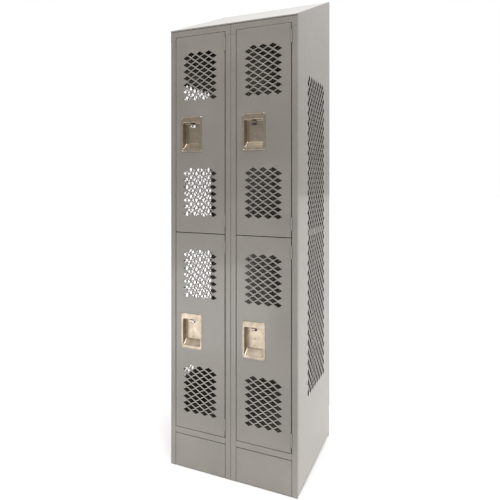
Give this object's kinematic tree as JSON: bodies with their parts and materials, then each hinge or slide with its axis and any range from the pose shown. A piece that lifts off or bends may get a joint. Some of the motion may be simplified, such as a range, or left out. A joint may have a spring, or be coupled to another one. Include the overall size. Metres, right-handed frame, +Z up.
{
  "type": "locker cabinet",
  "caption": "Ventilated steel locker with mesh doors over mesh doors, recessed lift handles, a closed base and a sloping hood.",
  "frame": {"origin": "on the floor, at the middle of the whole box across and in depth", "axes": "+X to the right as seen from the front, +Y to the back, +Z up; the doors face -Y"},
  "size_m": [0.6096, 0.5382, 2.2162],
  "materials": {
    "grey_paint": "baked grey enamel, light orange peel, semi-gloss",
    "stainless": "drawn stainless steel, brushed",
    "zinc_plate": "zinc plated steel",
    "rubber": "matte black rubber"
  },
  "bodies": {
    "cabinet": {"left_side_panel": "grey_paint", "right_side_panel": "grey_paint", "centre_partition": "grey_paint", "left_back_panel": "grey_paint", "right_back_panel": "grey_paint", "left_rear_post": "grey_paint", "right_rear_post": "grey_paint", "left_outer_stile": "grey_paint", "left_inner_stile": "grey_paint", "right_inner_stile": "grey_paint", "right_outer_stile": "grey_paint", "left_header": "grey_paint", "right_header": "grey_paint", "left_middle_rail": "grey_paint", "right_middle_rail": "grey_paint", "left_bottom_rail": "grey_paint", "right_bottom_rail": "grey_paint", "left_base_panel": "grey_paint", "right_base_panel": "grey_paint", "left_top_panel": "grey_paint", "right_top_panel": "grey_paint", "left_tier_shelf": "grey_paint", "right_tier_shelf": "grey_paint", "left_floor_shelf": "grey_paint", "right_floor_shelf": "grey_paint", "sloping_hood": "grey_paint", "hood_left_end": "grey_paint", "hood_right_end": "grey_paint", "hood_rear_panel": "grey_paint", "frame_hinge_leaves": "grey_paint", "hinge_pins": "zinc_plate", "latch_strikes": "zinc_plate", "door_bumpers": "rubber", "coat_hooks": "zinc_plate"},
    "left_upper_door_leaf": {"left_upper_door": "grey_paint", "left_upper_handle_cup": "stainless", "left_upper_hinge_leaves": "grey_paint", "left_upper_rivets": "stainless"},
    "left_upper_latch": {"left_upper_lift_trigger": "stainless", "left_upper_latch_hook": "zinc_plate"},
    "left_lower_door_leaf": {"left_lower_door": "grey_paint", "left_lower_handle_cup": "stainless", "left_lower_hinge_leaves": "grey_paint", "left_lower_rivets": "stainless"},
    "left_lower_latch": {"left_lower_lift_trigger": "stainless", "left_lower_latch_hook": "zinc_plate"},
    "right_upper_door_leaf": {"right_upper_door": "grey_paint", "right_upper_handle_cup": "stainless", "right_upper_hinge_leaves": "grey_paint", "right_upper_rivets": "stainless"},
    "right_upper_latch": {"right_upper_lift_trigger": "stainless", "right_upper_latch_hook": "zinc_plate"},
    "right_lower_door_leaf": {"right_lower_door": "grey_paint", "right_lower_handle_cup": "stainless", "right_lower_hinge_leaves": "grey_paint", "right_lower_rivets": "stainless"},
    "right_lower_latch": {"right_lower_lift_trigger": "stainless", "right_lower_latch_hook": "zinc_plate"}
  },
  "joints": [
    {"name": "left_upper_door_hinge", "type": "hinge", "parent": "cabinet", "child": "left_upper_door_leaf", "pos_m": [-0.027, -0.2653, 1.5113], "axis": [0, 0, 1], "range_deg": [0, 110]},
    {"name": "left_upper_latch_slide", "type": "slide", "parent": "left_upper_door_leaf", "child": "left_upper_latch", "axis": [0, 0, 1], "range_m": [-0.012, 0]},
    {"name": "left_lower_door_hinge", "type": "hinge", "parent": "cabinet", "child": "left_lower_door_leaf", "pos_m": [-0.027, -0.2653, 0.6223], "axis": [0, 0, 1], "range_deg": [0, 110]},
    {"name": "left_lower_latch_slide", "type": "slide", "parent": "left_lower_door_leaf", "child": "left_lower_latch", "axis": [0, 0, 1], "range_m": [-0.012, 0]},
    {"name": "right_upper_door_hinge", "type": "hinge", "parent": "cabinet", "child": "right_upper_door_leaf", "pos_m": [0.2778, -0.2653, 1.5113], "axis": [0, 0, 1], "range_deg": [0, 110]},
    {"name": "right_upper_latch_slide", "type": "slide", "parent": "right_upper_door_leaf", "child": "right_upper_latch", "axis": [0, 0, 1], "range_m": [-0.012, 0]},
    {"name": "right_lower_door_hinge", "type": "hinge", "parent": "cabinet", "child": "right_lower_door_leaf", "pos_m": [0.2778, -0.2653, 0.6223], "axis": [0, 0, 1], "range_deg": [0, 110]},
    {"name": "right_lower_latch_slide", "type": "slide", "parent": "right_lower_door_leaf", "child": "right_lower_latch", "axis": [0, 0, 1], "range_m": [-0.012, 0]}
  ]
}
